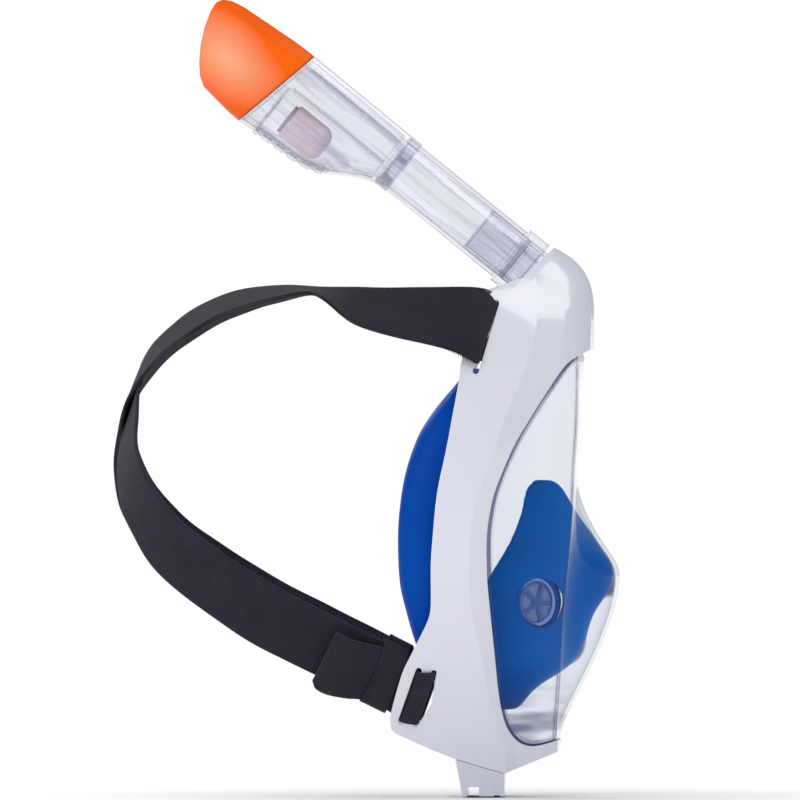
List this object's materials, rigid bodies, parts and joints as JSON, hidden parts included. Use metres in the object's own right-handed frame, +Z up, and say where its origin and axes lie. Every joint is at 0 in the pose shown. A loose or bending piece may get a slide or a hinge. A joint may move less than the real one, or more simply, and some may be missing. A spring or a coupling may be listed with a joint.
{
  "type": "full face snorkel",
  "caption": "Full face snorkelling mask: clear visor in a white frame, soft face seal and breathing cup, crossed elastic strap, clear dry-top snorkel that pulls off the brow.",
  "frame": {"origin": "centre of the flat underside of the chin cap", "axes": "+X the way the wearer looks, +Z up towards the snorkel, +Y the wearer's left"},
  "size_m": [0.2421, 0.166, 0.3785],
  "materials": {
    "white_shell": "moulded, satin gloss",
    "white_chin": "moulded, satin gloss",
    "clear_visor": "clear moulded polycarbonate, glossy",
    "blue_silicone": "soft silicone, satin",
    "blue_cup_silicone": "soft silicone, satin",
    "white_ring": "moulded",
    "clear_seat": "clear moulded",
    "grey_seat": "moulded",
    "valve_silicone": "thin silicone",
    "steel_screw": "stainless",
    "clear_tube": "clear moulded, glossy",
    "seal_rubber": "soft seal",
    "steel_pin": "stainless",
    "float_foam": "pale, slightly translucent",
    "pad_rubber": "soft seal",
    "orange_cap": "high-visibility, satin",
    "black_webbing": "ribbed elastic",
    "black_sleeve": "woven elastic"
  },
  "bodies": {
    "mask": {"frame_shell": "white_shell", "visor": "clear_visor", "face_skirt": "blue_silicone", "retaining_ring": "white_ring", "nose_cup": "blue_cup_silicone", "inlet_seat_left": "clear_seat", "inlet_seat_right": "clear_seat", "purge_seat": "grey_seat", "chin_cap": "white_chin", "chin_screws": "steel_screw", "spigot_screws": "steel_screw", "snorkel_spigot": "clear_tube", "spigot_seal": "seal_rubber", "strap_band_a": "black_webbing", "strap_band_b": "black_webbing"},
    "snorkel": {"snorkel_tube": "clear_tube", "latch_pin": "steel_pin", "dry_top_body": "clear_tube", "vent_cover": "clear_tube", "airway_wall_rear": "clear_tube", "airway_wall_front": "clear_tube", "float_seat": "clear_tube", "snorkel_cap": "orange_cap"},
    "latch": {"release_latch": "clear_tube"},
    "dry_float": {"float": "float_foam", "float_pad": "pad_rubber"},
    "flap_left": {"inlet_disc_left": "valve_silicone"},
    "flap_right": {"inlet_disc_right": "valve_silicone"},
    "flap_purge": {"purge_disc": "valve_silicone"},
    "sleeve_left": {"strap_keeper_left": "black_sleeve"},
    "sleeve_right": {"strap_keeper_right": "black_sleeve"}
  },
  "joints": [
    {"name": "snorkel_pull", "type": "slide", "parent": "mask", "child": "snorkel", "axis": [-0.7771, 0, 0.6293], "range_m": [0, 0.036]},
    {"name": "latch_press", "type": "hinge", "parent": "snorkel", "child": "latch", "pos_m": [0.00766, 0, 0.23964], "axis": [0, 1, 0], "range_deg": [0, 8]},
    {"name": "float_rise", "type": "slide", "parent": "snorkel", "child": "dry_float", "axis": [-0.7771, 0, 0.6293], "range_m": [0, 0.0069]},
    {"name": "inlet_left", "type": "slide", "parent": "mask", "child": "flap_left", "axis": [-0.6293, -0.7771, 0], "range_m": [0, 0.001]},
    {"name": "inlet_right", "type": "slide", "parent": "mask", "child": "flap_right", "axis": [-0.6293, 0.7771, 0], "range_m": [0, 0.001]},
    {"name": "purge_flap", "type": "slide", "parent": "mask", "child": "flap_purge", "axis": [-0.2924, 0, -0.9563], "range_m": [0, 0.0012]},
    {"name": "keeper_slide_left", "type": "slide", "parent": "mask", "child": "sleeve_left", "axis": [-0.8638, 0.2567, 0.4336], "range_m": [0, 0.01]},
    {"name": "keeper_slide_right", "type": "slide", "parent": "mask", "child": "sleeve_right", "axis": [-0.8638, -0.2567, 0.4336], "range_m": [0, 0.01]}
  ]
}
